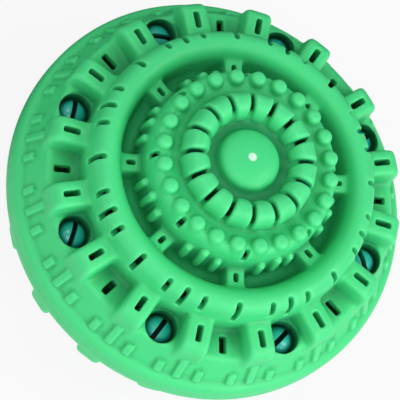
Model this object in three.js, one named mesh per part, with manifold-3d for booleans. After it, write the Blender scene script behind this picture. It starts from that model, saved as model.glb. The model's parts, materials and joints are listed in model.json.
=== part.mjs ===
// Laundry ball: two soft slotted half shells screwed to a hard frame, with ceramic beads inside.
// Millimetres, +Z up along the ball's axis, origin at the centre of the equator.
import * as THREE from 'three';
import { mergeVertices } from 'three/addons/utils/BufferGeometryUtils.js';
import Module from 'manifold-3d';

const wasm = await Module();
wasm.setup();

// Radial sizes of a shell, from the axis outward
const crownFlat = 4.5;
const domeRadius = 7.5;
const moatWidth = 2.2;
const petalLength = 7.3;
const petalFlat = 1.2;
const troughWidth = 2;
const landWidth = 4.5;
const landRound = 0.8;
const tierLean = 1.2;
const valleyWidth = 3;
const ringInnerLean = 1.6;
const ringWidth = 8.7;
const ringOuterLean = 0.6;
const ringRound = 3.2;
const pocketWidth = 8.2;
const rimRound = 1;
const rimLean = 2.6;
const beadWidth = 2.8;

// Heights of a shell, from the equator up
const partingGap = 0.3;
const beadFlat = 1.4;
const beadHeight = 4.7;
const floorHeight = 13;
const barRise = 6;
const ringRise = 13;
const ringShoulderDrop = 2.2;
const valleyRise = 4;
const bridgeRise = 6;
const tierRise = 14.7;
const troughDrop = 0.8;
const petalRise = 5.4;
const moatDepth = 5.4;
const domeDrop = 1.6;
const domeShoulder = 2;
const wall = 2.2;
const ringRoofDrop = 1.5;

// Raised details
const sectors = 8;
const barWidth = 6.6;
const barProud = 0.6;
const barRound = 2.8;
const bridgeWidth = 5;
const bumpsPerSector = 3;
const bumpRadius = 1.85;
const bumpInset = 2.5;
const rimRibWidth = 2.2;
const rimRibProud = 1;
const rimRibSpread = 6.2;
const longRibTop = 11.3;
const shortRibTop = 8.2;
const tierRibWidth = 2.2;
const tierRibProud = 1.2;
const tierRibSpread = 9.3;
const longTierRibTop = 28;
const shortTierRibTop = 26;

// Slots and grooves
const barSlotLength = 4.2;
const barSlotWidth = 1.75;
const ringSlotWidth = 1.6;
const longSlotHeight = 6.3;
const shortSlotHeight = 4.2;
const shortSlotLift = 1.6;
const shortSlotSpread = 8;
const bridgeSlotLength = 2.4;
const bridgeSlotWidth = 1.2;
const landSlotLength = 2.4;
const landSlotWidth = 1.4;
const landSlotDepth = 5;
const petalGrooveWidth = 1.3;
const petalGrooveDepth = 4;
const petalSlotLength = 4.2;
const petalSlotWidth = 0.8;

// Screws, their wells and the frame that they bite into
const wellRadius = 4.05;
const wellInset = 0.4;
const wellDepth = 4.2;
const wellWall = 0.8;
const seatThickness = 2;
const headClearance = 0.4;
const headDrop = 2;
const headBelt = 0.9;
const shankRadius = 1.6;
const shankClearance = 0.4;
const shankTipHeight = 1;
const driverSlotWidth = 1.2;
const driverSlotDepth = 1.1;
const slotTurns = [131, 20, 80, 67.5, 101, 52, 167, 115];
const fitGap = 0.3;
const pillarRadius = 3.6;
const webThickness = 3;
const webWidth = 8;
const webClearance = 1.2;

// Dividers and beads
const dividerThickness = 1.6;
const dividerGap = 0.5;
const dividerTab = 1.7;
const compartments = 4;
const beadRadius = 4;
const beadGap = 0.2;
const shelfBeads = 4;
const shelfBeadStep = 18;

// Facets and overlaps that a cut or join needs
const shellFacets = 32;
const hollowFacets = 16;
const bumpFacets = 5;
const bumpRows = 4;
const wellFacets = 12;
const beadFacets = 6;
const beadRows = 4;
const arcSteps = 2;
const sink = 0.8;

// Radii and heights that several pieces share
const petalInner = domeRadius + moatWidth;
const petalOuter = petalInner + petalLength;
const petalMiddle = (petalInner + petalOuter) / 2;
const landInner = petalOuter + troughWidth;
const landOuter = landInner + landWidth;
const valleyInner = landOuter + tierLean;
const valleyOuter = valleyInner + valleyWidth;
const ringOuter = valleyOuter + ringWidth;
const rimTop = ringOuter + pocketWidth;
const rimFoot = rimTop + rimLean;
const equatorRadius = rimFoot + beadWidth;
const valleyHeight = floorHeight + valleyRise;
const landHeight = valleyHeight + tierRise;
const troughHeight = landHeight - troughDrop;
const crownHeight = landHeight + petalRise;
const moatHeight = crownHeight - moatDepth;
const domeHeight = crownHeight - domeDrop;
const ringHeight = floorHeight + ringRise;
const barHeight = floorHeight + barRise;
const bridgeHeight = valleyHeight + bridgeRise;
const parting = partingGap / 2;
const cavityRim = rimFoot - wall;
const cavityPit = landOuter - wall;
const shelfCeiling = valleyHeight - wall;
const pitCeiling = troughHeight - wall;
const bandCeiling = floorHeight - wall;
const pocketMiddle = (ringOuter + rimTop) / 2;
const wellCentre = pocketMiddle - wellInset;
const seatHeight = floorHeight - wellDepth;
const pillarTop = seatHeight - seatThickness - fitGap;
const webInner = cavityRim - webClearance - webWidth;
const sectorAngle = 360 / sectors;

const shellMaterial = new THREE.MeshStandardMaterial({ color: 0x50de8a, roughness: 0.55, metalness: 0 });
const screwMaterial = new THREE.MeshStandardMaterial({ color: 0x1f9c8a, roughness: 0.35, metalness: 0 });
const frameMaterial = new THREE.MeshStandardMaterial({ color: 0x2f8f5a, roughness: 0.5, metalness: 0 });
const beadMaterial = new THREE.MeshStandardMaterial({ color: 0x9c5a3c, roughness: 0.6, metalness: 0 });

// Turn a closed geometry into a solid that can be cut and joined
function toSolid(geometry) {
  const bare = geometry.clone();
  bare.deleteAttribute('normal');
  bare.deleteAttribute('uv');
  const merged = mergeVertices(bare);
  const corners = merged.index.array;
  const faces = [];
  for (let i = 0; i < corners.length; i += 3) {
    const [a, b, c] = corners.subarray(i, i + 3);
    if (a !== b && b !== c && c !== a) faces.push(a, b, c);
  }
  const vertProperties = new Float32Array(merged.attributes.position.array);
  const triVerts = new Uint32Array(faces);
  return new wasm.Manifold(new wasm.Mesh({ numProp: 3, vertProperties, triVerts }));
}

function toGeometry(solid) {
  const mesh = solid.getMesh();
  const geometry = new THREE.BufferGeometry();
  geometry.setAttribute('position', new THREE.BufferAttribute(new Float32Array(mesh.vertProperties), 3));
  geometry.setIndex(new THREE.BufferAttribute(new Uint32Array(mesh.triVerts), 1));
  geometry.computeVertexNormals();
  return geometry;
}

const joinAll = (solid, extras) => extras.reduce((sum, extra) => sum.add(extra), solid);
const cutAll = (solid, tools) => tools.reduce((rest, tool) => rest.subtract(tool), solid);

// A body of revolution about Z from [radius, height] points that start and end on the axis, top first
function revolve(points, facets) {
  const outline = points.map(([radius, height]) => new THREE.Vector2(radius, height)).reverse();
  return new THREE.LatheGeometry(outline, facets).rotateX(Math.PI / 2);
}

function cylinder(radius, bottom, top, facets) {
  return revolve([[0, top], [radius, top], [radius, bottom], [0, bottom]], facets);
}

// Points of a quarter ellipse between two angles in degrees, both ends included
function arc(centreRadius, centreHeight, halfWidth, halfHeight, from, to) {
  const points = [];
  for (let step = 0; step <= arcSteps; step += 1) {
    const angle = THREE.MathUtils.degToRad(from + ((to - from) * step) / arcSteps);
    points.push([centreRadius + halfWidth * Math.cos(angle), centreHeight + halfHeight * Math.sin(angle)]);
  }
  return points;
}

// A block between two radii and two heights, centred on the +X half plane
function block(inner, outer, bottom, top, width) {
  const box = new THREE.BoxGeometry(outer - inner, width, top - bottom);
  return box.translate((inner + outer) / 2, 0, (bottom + top) / 2);
}

// A plate whose [radius, height] outline lies in the XZ plane, centred on it
function plate(points, thickness) {
  const shape = new THREE.Shape(points.map(([radius, height]) => new THREE.Vector2(radius, height)));
  const solid = new THREE.ExtrudeGeometry(shape, { depth: thickness, bevelEnabled: false });
  return solid.translate(0, 0, -thickness / 2).rotateX(Math.PI / 2);
}

// Copies of one geometry turned about Z, as solids
function turned(geometry, angles) {
  return angles.map((angle) => toSolid(geometry.clone().rotateZ(THREE.MathUtils.degToRad(angle))));
}

const spread = (count, first) => Array.from({ length: count }, (_, i) => first + (360 / count) * i);

const pocketAngles = spread(sectors, 0);
const wellAngles = spread(sectors, sectorAngle / 2);
const halfSectorAngles = spread(2 * sectors, 0);
const barAngles = spread(2 * sectors, sectorAngle / 4);
const around = (angles, offset) => angles.flatMap((angle) => [angle - offset, angle + offset]);

// Outer form of a shell
function shellBody() {
  const petalRunIn = petalMiddle - petalFlat / 2;
  const petalRunOut = petalMiddle + petalFlat / 2;
  const ringCrestOuter = ringOuter - ringOuterLean - ringRound;
  return toSolid(revolve([
    [0, domeHeight],
    ...arc(crownFlat, domeHeight - domeShoulder, domeRadius - crownFlat, domeShoulder, 90, 0),
    [domeRadius, moatHeight],
    ...arc(petalRunIn, moatHeight, petalRunIn - petalInner, moatDepth, 180, 90),
    ...arc(petalRunOut, troughHeight, petalOuter - petalRunOut, crownHeight - troughHeight, 90, 0),
    [landInner, troughHeight],
    [landInner + troughDrop, landHeight],
    [landOuter - landRound, landHeight],
    [landOuter, landHeight - landRound],
    [valleyInner, valleyHeight],
    [valleyOuter, valleyHeight],
    [valleyOuter + ringInnerLean, ringHeight - ringShoulderDrop],
    ...arc(ringCrestOuter, ringHeight - ringRound, ringRound, ringRound, 90, 0),
    [ringOuter, floorHeight],
    [rimTop - rimRound, floorHeight],
    [rimTop, floorHeight - rimRound],
    ...arc(rimFoot, beadFlat, beadWidth, beadHeight - beadFlat, 90, 0),
    [equatorRadius, parting],
    [0, parting],
  ], shellFacets));
}

// Hollow of a shell, less the tubes that carry the screw seats
function shellCavity() {
  const ringRoof = ringHeight - wall - ringRoofDrop;
  const hollow = toSolid(revolve([
    [0, moatHeight - wall],
    [petalOuter - wall - (moatHeight - troughHeight), moatHeight - wall],
    [petalOuter - wall, pitCeiling],
    [cavityPit, pitCeiling],
    [valleyInner - wall, shelfCeiling],
    [valleyOuter + wall, shelfCeiling],
    [valleyOuter + ringInnerLean + wall, ringRoof],
    [ringOuter - ringOuterLean - wall, ringRoof],
    [ringOuter - wall, bandCeiling],
    [rimTop - wall, bandCeiling],
    [cavityRim, beadHeight],
    [cavityRim, -sink],
    [0, -sink],
  ], hollowFacets));
  const tube = cylinder(wellRadius + wellWall, seatHeight - seatThickness, floorHeight, wellFacets);
  return cutAll(hollow, turned(tube.translate(wellCentre, 0, 0), wellAngles));
}

function raisedDetails() {
  const barEnd = rimTop + barProud;
  const rimWallTop = floorHeight - rimRound;
  const barFoot = rimWallTop - (barProud * (rimWallTop - beadHeight)) / rimLean - sink;
  const bar = plate([
    [ringOuter - sink, floorHeight - sink],
    [barEnd, barFoot],
    ...arc(barEnd - barRound, barHeight - barRound, barRound, barRound, 0, 90),
    [ringOuter - sink, barHeight],
  ], barWidth);
  const bridge = block(
    valleyInner - sink, valleyOuter + ringInnerLean, valleyHeight - sink, bridgeHeight, bridgeWidth);
  const bump = new THREE.SphereGeometry(bumpRadius, bumpFacets, bumpRows).rotateX(Math.PI / 2);
  bump.translate(landOuter - bumpInset, 0, landHeight);
  const bumpCount = bumpsPerSector * sectors;
  return [
    ...turned(bar, barAngles),
    ...turned(bridge, pocketAngles),
    ...turned(bump, spread(bumpCount, 180 / bumpCount)),
    ...turned(rimRib(longRibTop), barAngles),
    ...turned(rimRib(shortRibTop), around(barAngles, rimRibSpread)),
    ...turned(tierRib(longTierRibTop), wellAngles),
    ...turned(tierRib(shortTierRibTop), around(wellAngles, tierRibSpread)),
  ];
}

// A rib that stands on a wall leaning in from its foot to its head, each given as [radius, height]
function wallRib(foot, head, top, proud, width) {
  const slope = (foot[0] - head[0]) / (head[1] - foot[1]);
  const wallRadius = (height) => foot[0] - (height - foot[1]) * slope;
  return plate([
    [foot[0] - sink, foot[1] - sink],
    [foot[0] + proud, foot[1] - sink],
    [wallRadius(top) + proud, top - proud],
    [wallRadius(top) - sink, top],
  ], width);
}

function rimRib(top) {
  return wallRib([rimFoot, beadHeight], [rimTop, floorHeight - rimRound], top, rimRibProud, rimRibWidth);
}

function tierRib(top) {
  return wallRib(
    [valleyInner, valleyHeight], [landOuter, landHeight - landRound], top, tierRibProud, tierRibWidth);
}

function slots() {
  const throughSlot = (middle, length, width) => block(
    middle - length / 2, middle + length / 2, 0, crownHeight, width);
  const barSlot = throughSlot(pocketMiddle, barSlotLength, barSlotWidth);
  const ringSlot = (bottom, top) => block(
    ringOuter - ringOuterLean - wall - sink, ringOuter + sink, bottom, top, ringSlotWidth);
  const longSlot = ringSlot(barHeight, barHeight + longSlotHeight);
  const shortBottom = barHeight + shortSlotLift;
  const shortSlot = ringSlot(shortBottom, shortBottom + shortSlotHeight);
  const bridgeSlot = throughSlot((valleyInner + valleyOuter) / 2, bridgeSlotLength, bridgeSlotWidth);
  const landSlot = block(
    landOuter - landSlotLength, valleyInner, landHeight - landSlotDepth, crownHeight, landSlotWidth);
  const grooveFloor = crownHeight - petalGrooveDepth;
  const petalGroove = block(
    petalInner - sink, petalOuter + sink, grooveFloor, crownHeight + sink, petalGrooveWidth);
  const petalSlot = throughSlot(petalMiddle, petalSlotLength, petalSlotWidth);
  return [
    ...turned(barSlot, [...barAngles, ...pocketAngles]),
    ...turned(longSlot, halfSectorAngles),
    ...turned(shortSlot, around(wellAngles, shortSlotSpread)),
    ...turned(bridgeSlot, pocketAngles),
    ...turned(landSlot, pocketAngles),
    ...turned(petalGroove, halfSectorAngles),
    ...turned(petalSlot, halfSectorAngles),
  ];
}

function screwWells() {
  const well = cylinder(wellRadius, seatHeight, floorHeight + sink, wellFacets);
  const hole = cylinder(shankRadius + shankClearance, 0, floorHeight, wellFacets);
  return [well, hole].flatMap((tool) => turned(tool.translate(wellCentre, 0, 0), wellAngles));
}

function makeShell() {
  const body = joinAll(shellBody(), raisedDetails());
  return toGeometry(cutAll(body, [shellCavity(), ...slots(), ...screwWells()]));
}

// A slotted dome-head screw on its own axis, at the height that it has in the upper shell
function makeScrew() {
  const headRadius = wellRadius - headClearance;
  const headBottom = seatHeight + fitGap / 2;
  const headTop = floorHeight - headDrop;
  const body = toSolid(revolve([
    ...arc(0, headBottom + headBelt, headRadius, headTop - headBottom - headBelt, 90, 0),
    [headRadius, headBottom],
    [shankRadius, headBottom],
    [shankRadius, shankTipHeight],
    [0, shankTipHeight],
  ], wellFacets));
  const slot = new THREE.BoxGeometry(2 * wellRadius, driverSlotWidth, driverSlotDepth + sink);
  slot.translate(0, 0, headTop + (sink - driverSlotDepth) / 2);
  return toGeometry(body.subtract(toSolid(slot)));
}

// Ring web with eight pillars, drilled from both ends, and notches for the dividers
function makeFrame() {
  const webTop = webThickness / 2;
  const disc = toSolid(cylinder(webInner + webWidth, -webTop, webTop, hollowFacets));
  const middle = toSolid(cylinder(webInner, -webThickness, webThickness, hollowFacets));
  const pillar = cylinder(pillarRadius, -pillarTop, pillarTop, wellFacets).translate(wellCentre, 0, 0);
  const drill = cylinder(shankRadius + shankClearance, -floorHeight, floorHeight, wellFacets);
  const notchWidth = dividerThickness + 2 * fitGap;
  const notch = block(0, webInner + dividerTab + fitGap, -webThickness, webThickness, notchWidth);
  const web = joinAll(disc.subtract(middle), turned(pillar, wellAngles));
  const drills = turned(drill.translate(wellCentre, 0, 0), wellAngles);
  return toGeometry(cutAll(web, [...drills, ...turned(notch, spread(compartments, 0))]));
}

// One of the two halved plates; side 1 is notched from above and side -1 from below
function makeDivider(side) {
  const tabEnd = webInner + dividerTab;
  const quarter = [
    [tabEnd, bandCeiling - dividerGap],
    [ringOuter - wall - dividerGap, bandCeiling - dividerGap],
    [valleyOuter + wall - dividerGap, shelfCeiling - dividerGap],
    [valleyInner - wall - dividerGap, shelfCeiling - dividerGap],
    [cavityPit - dividerGap, pitCeiling - dividerGap],
  ];
  const flip = (points, x, z) => points.map(([radius, height]) => [x * radius, z * height]);
  const outline = [
    ...quarter,
    ...flip(quarter, -1, 1).reverse(),
    ...flip(quarter, -1, -1),
    ...flip(quarter, 1, -1).reverse(),
  ];
  const body = toSolid(plate(outline, dividerThickness));
  const notchWidth = dividerThickness + 2 * fitGap;
  const notch = new THREE.BoxGeometry(notchWidth, notchWidth, crownHeight + fitGap / 2);
  notch.translate(0, 0, (side * (crownHeight - fitGap / 2)) / 2);
  return toGeometry(body.subtract(toSolid(notch)));
}

// Centres of the beads in the first compartment: three in the pit, one on them and a row on the shelf
function beadCentres() {
  const reach = beadRadius + beadGap;
  const near = dividerThickness / 2 + reach + fitGap;
  const far = near + 2 * reach;
  const pitFloor = reach - pitCeiling;
  const middle = (near + near + far) / 3;
  const nestRise = Math.sqrt((2 * reach) ** 2 - 2 * (middle - near) ** 2);
  const shelfRadius = (valleyInner + valleyOuter) / 2 + beadGap;
  const shelfFloor = reach - shelfCeiling;
  const pit = [[near, near], [far, near], [near, far]].map(([x, y]) => new THREE.Vector3(x, y, pitFloor));
  const nested = new THREE.Vector3(middle, middle, pitFloor + nestRise);
  const shelf = Array.from({ length: shelfBeads }, (_, i) => {
    const angle = 180 / compartments + (i - (shelfBeads - 1) / 2) * shelfBeadStep;
    const centre = new THREE.Vector3(shelfRadius, 0, shelfFloor);
    return centre.applyAxisAngle(new THREE.Vector3(0, 0, 1), THREE.MathUtils.degToRad(angle));
  });
  return [...pit, nested, ...shelf];
}

const ball = new THREE.Group();

function addMesh(parent, name, geometry, material) {
  const mesh = new THREE.Mesh(geometry, material);
  mesh.name = name;
  parent.add(mesh);
  return mesh;
}

// The two halves are the same moulding, one of them turned over
const shellGeometry = makeShell();
const screwGeometry = makeScrew();
for (const side of ['upper', 'lower']) {
  const half = new THREE.Group();
  half.rotation.x = side === 'upper' ? 0 : Math.PI;
  addMesh(half, `${side}_shell`, shellGeometry, shellMaterial);
  wellAngles.forEach((angle, i) => {
    const screw = addMesh(half, `${side}_screw_${i + 1}`, screwGeometry, screwMaterial);
    const turn = THREE.MathUtils.degToRad(angle);
    screw.position.set(wellCentre * Math.cos(turn), wellCentre * Math.sin(turn), 0);
    screw.rotation.z = turn + THREE.MathUtils.degToRad(slotTurns[i]);
  });
  ball.add(half);
}

addMesh(ball, 'inner_frame', makeFrame(), frameMaterial);
addMesh(ball, 'divider_x', makeDivider(1), frameMaterial);
addMesh(ball, 'divider_y', makeDivider(-1), frameMaterial).rotation.z = Math.PI / 2;

const beadGeometry = new THREE.SphereGeometry(beadRadius, beadFacets, beadRows).rotateX(Math.PI / 2);
for (let chamber = 0; chamber < compartments; chamber += 1) {
  const compartment = new THREE.Group();
  compartment.rotation.z = (2 * Math.PI * chamber) / compartments;
  beadCentres().forEach((centre, i) => {
    addMesh(compartment, `bead_${chamber + 1}_${i + 1}`, beadGeometry, beadMaterial).position.copy(centre);
  });
  ball.add(compartment);
}

export default ball;
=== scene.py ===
import json
import math
import bmesh
import bpy
import numpy as np
from mathutils import Matrix, Vector

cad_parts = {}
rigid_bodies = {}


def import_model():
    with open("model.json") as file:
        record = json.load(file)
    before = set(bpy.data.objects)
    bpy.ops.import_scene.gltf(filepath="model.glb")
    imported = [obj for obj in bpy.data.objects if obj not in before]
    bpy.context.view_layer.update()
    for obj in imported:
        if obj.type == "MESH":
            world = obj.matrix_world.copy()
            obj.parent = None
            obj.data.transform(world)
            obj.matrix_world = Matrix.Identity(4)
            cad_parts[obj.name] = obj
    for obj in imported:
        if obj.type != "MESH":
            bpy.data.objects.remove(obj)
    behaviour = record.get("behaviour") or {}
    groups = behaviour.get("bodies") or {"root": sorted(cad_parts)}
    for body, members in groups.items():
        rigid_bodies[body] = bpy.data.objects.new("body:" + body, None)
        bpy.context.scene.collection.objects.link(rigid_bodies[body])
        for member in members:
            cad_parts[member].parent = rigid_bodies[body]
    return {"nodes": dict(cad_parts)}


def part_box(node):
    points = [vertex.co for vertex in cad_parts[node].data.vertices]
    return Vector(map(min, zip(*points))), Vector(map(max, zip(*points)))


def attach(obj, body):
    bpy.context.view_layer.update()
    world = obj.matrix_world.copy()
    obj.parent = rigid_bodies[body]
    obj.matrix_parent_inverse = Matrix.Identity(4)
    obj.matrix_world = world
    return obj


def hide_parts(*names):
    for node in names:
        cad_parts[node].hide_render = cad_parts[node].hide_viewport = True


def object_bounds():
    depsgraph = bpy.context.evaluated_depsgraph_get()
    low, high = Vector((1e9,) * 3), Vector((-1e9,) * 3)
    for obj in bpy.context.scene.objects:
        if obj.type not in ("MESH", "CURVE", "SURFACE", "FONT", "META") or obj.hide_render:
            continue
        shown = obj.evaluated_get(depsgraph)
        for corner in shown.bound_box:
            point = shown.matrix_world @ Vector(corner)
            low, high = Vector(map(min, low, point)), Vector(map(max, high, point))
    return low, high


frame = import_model()
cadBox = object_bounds()
mm = 0.001  # shapes are drawn in millimetres and brought to metres at the end
scene = bpy.context.scene
print("frame loaded:", len(frame["nodes"]), "nodes")


# shader node helpers: each gives back the socket that the next node takes

def feed(links, value, socket):
    if isinstance(value, bpy.types.NodeSocket):
        links.new(value, socket)
    elif isinstance(value, tuple):
        socket.default_value = (*value, 1)
    else:
        socket.default_value = value


def addMath(nodes, links, operation, first, second=0.0):
    node = nodes.new("ShaderNodeMath")
    node.operation = operation
    feed(links, first, node.inputs[0])
    feed(links, second, node.inputs[1])
    return node.outputs[0]


def addMix(nodes, links, factor, first, second):
    mix = nodes.new("ShaderNodeMix")
    mix.data_type = "RGBA"
    feed(links, factor, mix.inputs[0])
    feed(links, first, mix.inputs[6])
    feed(links, second, mix.inputs[7])
    return mix.outputs[2]


def addNoise(nodes, links, scale, detail):
    place = nodes.new("ShaderNodeTexCoord")
    noise = nodes.new("ShaderNodeTexNoise")
    noise.inputs["Scale"].default_value = scale
    noise.inputs["Detail"].default_value = detail
    noise.inputs["Roughness"].default_value = 0.55
    links.new(place.outputs["Object"], noise.inputs["Vector"])
    return noise.outputs["Fac"]


# Stops are places with a colour, or with one number for a grey
def addRamp(nodes, links, source, stops):
    ramp = nodes.new("ShaderNodeValToRGB")
    while len(ramp.color_ramp.elements) < len(stops):
        ramp.color_ramp.elements.new(0.5)
    for element, (place, colour) in zip(ramp.color_ramp.elements, stops):
        element.position = place
        element.color = (*colour, 1) if isinstance(colour, tuple) else (colour, colour, colour, 1)
    links.new(source, ramp.inputs["Fac"])
    return ramp.outputs["Color"]


def addAttribute(nodes, name):
    stored = nodes.new("ShaderNodeAttribute")
    stored.attribute_name = name
    return stored.outputs["Fac"]


# From 0 in a shut-in place to 1 in the open, by what lies within reach
def addOpenness(nodes, reach, ownPieceOnly):
    openness = nodes.new("ShaderNodeAmbientOcclusion")
    openness.samples = 6
    openness.only_local = ownPieceOnly
    openness.inputs["Distance"].default_value = reach
    return openness.outputs["AO"]


# camera, light and floor

camera = {
    "place": (-0.00629, -0.45257, 0.93031),
    "right": (0.673, 0.664, 0.327),
    "up": (-0.740, 0.607, 0.290),
    "back": (-0.005, -0.437, 0.899),
    "lens": 379.3,
    "sensor": 36.0,
    "sees": 20.0,
}

light = {
    "worldFrom": (-0.10, -0.80, -0.59),
    "worldDark": 0.26,
    "worldBright": 1.09,
    "worldSeen": 0.93,
    "softboxes": {
        "keySoftbox": {"place": (0.989, -0.231, 0.583), "size": 0.5, "watts": 4.7},
        "sideSoftbox": {"place": (0.666, 0.391, 0.879), "size": 0.5, "watts": 3.2},
        "frontSoftbox": {"place": (-0.006, -0.511, 1.052), "size": 0.5, "watts": 1.8},
        "glintSoftbox": {"place": (-0.500, 0.050, 0.950), "size": 0.22, "watts": 0.8},
    },
}

floorLook = {
    "size": 6.0,
    "pale": (0.70, 0.70, 0.70),
    "dim": (0.05, 0.05, 0.05),
    "dimSide": (-0.80, 0.60, 0.0),
    "dimReach": (0.55, 0.12),
    "whiteShare": 0.88,
}


def makeCamera():
    data = bpy.data.cameras.new("photoCamera")
    data.lens = camera["lens"]
    data.sensor_width = camera["sensor"]
    data.clip_end = camera["sees"]
    obj = bpy.data.objects.new("photoCamera", data)
    turn = Matrix((camera["right"], camera["up"], camera["back"])).transposed()
    obj.matrix_world = Matrix.Translation(camera["place"]) @ turn.to_quaternion().to_matrix().to_4x4()
    scene.collection.objects.link(obj)
    scene.camera = obj


def makeSoftbox(name, box):
    data = bpy.data.lights.new(name, "AREA")
    data.shape = "DISK"
    data.size = box["size"]
    data.energy = box["watts"]
    obj = bpy.data.objects.new(name, data)
    turn = Vector(box["place"]).to_track_quat("Z", "Y").to_matrix().to_4x4()
    obj.matrix_world = Matrix.Translation(box["place"]) @ turn
    scene.collection.objects.link(obj)


# A world that is brighter on one side, and that the camera sees as nearly white
def makeWorld():
    world = bpy.data.worlds.new("studioWorld")
    scene.world = world
    world.use_nodes = True
    nodes, links = world.node_tree.nodes, world.node_tree.links
    nodes.clear()
    output = nodes.new("ShaderNodeOutputWorld")
    shine = nodes.new("ShaderNodeBackground")
    shine.inputs["Color"].default_value = (1, 1, 1, 1)
    place = nodes.new("ShaderNodeTexCoord")
    facing = nodes.new("ShaderNodeVectorMath")
    facing.operation = "DOT_PRODUCT"
    facing.inputs[1].default_value = Vector(light["worldFrom"]).normalized()
    strength = nodes.new("ShaderNodeMapRange")
    strength.inputs["From Min"].default_value = -1
    strength.inputs["To Min"].default_value = light["worldDark"]
    strength.inputs["To Max"].default_value = light["worldBright"]
    links.new(place.outputs["Generated"], facing.inputs[0])
    links.new(facing.outputs["Value"], strength.inputs["Value"])
    rays = nodes.new("ShaderNodeLightPath")
    seen = nodes.new("ShaderNodeMix")
    seen.inputs["B"].default_value = light["worldSeen"]
    links.new(rays.outputs["Is Camera Ray"], seen.inputs["Factor"])
    links.new(strength.outputs[0], seen.inputs["A"])
    links.new(seen.outputs["Result"], shine.inputs["Strength"])
    links.new(shine.outputs["Background"], output.inputs["Surface"])


def floorMaterial():
    look = floorLook
    mat = bpy.data.materials.new("palePaper")
    mat.use_nodes = True
    nodes, links = mat.node_tree.nodes, mat.node_tree.links
    nodes.clear()
    # the floor gives back less light behind the ball, as with a dark card laid there
    place = nodes.new("ShaderNodeTexCoord")
    outward = nodes.new("ShaderNodeVectorMath")
    outward.operation = "NORMALIZE"
    links.new(place.outputs["Object"], outward.inputs[0])
    along = nodes.new("ShaderNodeVectorMath")
    along.operation = "DOT_PRODUCT"
    along.inputs[1].default_value = look["dimSide"]
    links.new(outward.outputs[0], along.inputs[0])
    lit = nodes.new("ShaderNodeMapRange")
    lit.inputs["From Min"].default_value = look["dimReach"][0]
    lit.inputs["From Max"].default_value = look["dimReach"][1]
    links.new(along.outputs["Value"], lit.inputs["Value"])
    # the camera sees an even floor, with the ball's shadow in the share that isn't plain white
    rays = nodes.new("ShaderNodeLightPath")
    even = addMath(nodes, links, "MAXIMUM", lit.outputs[0], rays.outputs["Is Camera Ray"])
    paper = nodes.new("ShaderNodeBsdfDiffuse")
    links.new(addMix(nodes, links, even, look["dim"], look["pale"]), paper.inputs["Color"])
    mirrored = addMath(nodes, links, "MULTIPLY", rays.outputs["Is Glossy Ray"], lit.outputs[0])
    seen = addMath(nodes, links, "MAXIMUM", rays.outputs["Is Camera Ray"], mirrored)
    share = addMath(nodes, links, "MULTIPLY", seen, look["whiteShare"])
    white = nodes.new("ShaderNodeEmission")
    mix = nodes.new("ShaderNodeMixShader")
    links.new(share, mix.inputs["Fac"])
    links.new(paper.outputs[0], mix.inputs[1])
    links.new(white.outputs[0], mix.inputs[2])
    output = nodes.new("ShaderNodeOutputMaterial")
    links.new(mix.outputs[0], output.inputs["Surface"])
    return mat


def makeFloor():
    half = floorLook["size"] / 2
    level = cadBox[0][2]
    corners = [(x * half, y * half, level) for x, y in ((-1, -1), (1, -1), (1, 1), (-1, 1))]
    mesh = bpy.data.meshes.new("floor")
    mesh.from_pydata(corners, [], [(0, 1, 2, 3)])
    mesh.materials.append(floorMaterial())
    obj = bpy.data.objects.new("floor", mesh)
    scene.collection.objects.link(obj)


scene.view_settings.view_transform = "Standard"
makeCamera()
makeWorld()
for name, box in light["softboxes"].items():
    makeSoftbox(name, box)
makeFloor()
print("camera, light and floor set")


# materials: a noise is its scale and detail, a ramp is its stops

def startMaterial(name):
    mat = bpy.data.materials.new(name)
    mat.use_nodes = True
    tree = mat.node_tree
    shader = tree.nodes["Principled BSDF"]
    return mat, tree.nodes, tree.links, shader


def addRoughness(nodes, links, look, source, shader):
    low, high = look["rough"]
    rough = addRamp(nodes, links, source, ((0.3, low), (0.7, high)))
    links.new(rough, shader.inputs["Roughness"])


def addGrain(nodes, links, look, shader):
    bump = nodes.new("ShaderNodeBump")
    bump.inputs["Strength"].default_value = look["grainStrength"]
    bump.inputs["Distance"].default_value = look["grainDepth"]
    links.new(addNoise(nodes, links, *look["grain"]), bump.inputs["Height"])
    links.new(bump.outputs["Normal"], shader.inputs["Normal"])


rubberLook = {
    "green": (0.051, 0.690, 0.232),
    "greenWarm": (0.058, 0.730, 0.244),
    # the edge green is part wear and part a painted highlight on raised edges and rib tips
    "edge": (0.090, 0.800, 0.300),
    # painted shade in creases
    "creaseShade": (0.020, 0.330, 0.110),
    # painted shade in recesses
    "recessShade": (0.032, 0.410, 0.150),
    # painted shade deep in wells, the moat, the tier wall, pockets and petal gaps
    "deepShade": (0.008, 0.120, 0.052),
    "cloud": (60.0, 4.0),
    "edgeWearAndHighlightRamp": ((0.56, 0.0), (0.92, 0.65)),
    "creaseShadeRamp": ((0.08, 0.5), (0.44, 0.0)),
    "recessReach": 0.010,
    "recessShadeRamp": ((0.05, 1.0), (0.36, 0.5), (0.80, 0.0)),
    "specular": 0.45,
    "specularRamp": ((0.15, 0.02), (0.7, 0.45)),
    "patches": (220.0, 3.0),
    "rough": (0.42, 0.54),
    "subsurface": 0.18,
    "subsurfaceColour": (0.35, 1.0, 0.5),
    "subsurfaceDepth": 0.0016,
    "dot": (0.680, 0.950, 0.750),
    "dotRadius": 0.00102,
    "dotHeight": 0.034,
    "grain": (2600.0, 2.0),
    "grainStrength": 0.35,
    "grainDepth": 0.00006,
}


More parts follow.
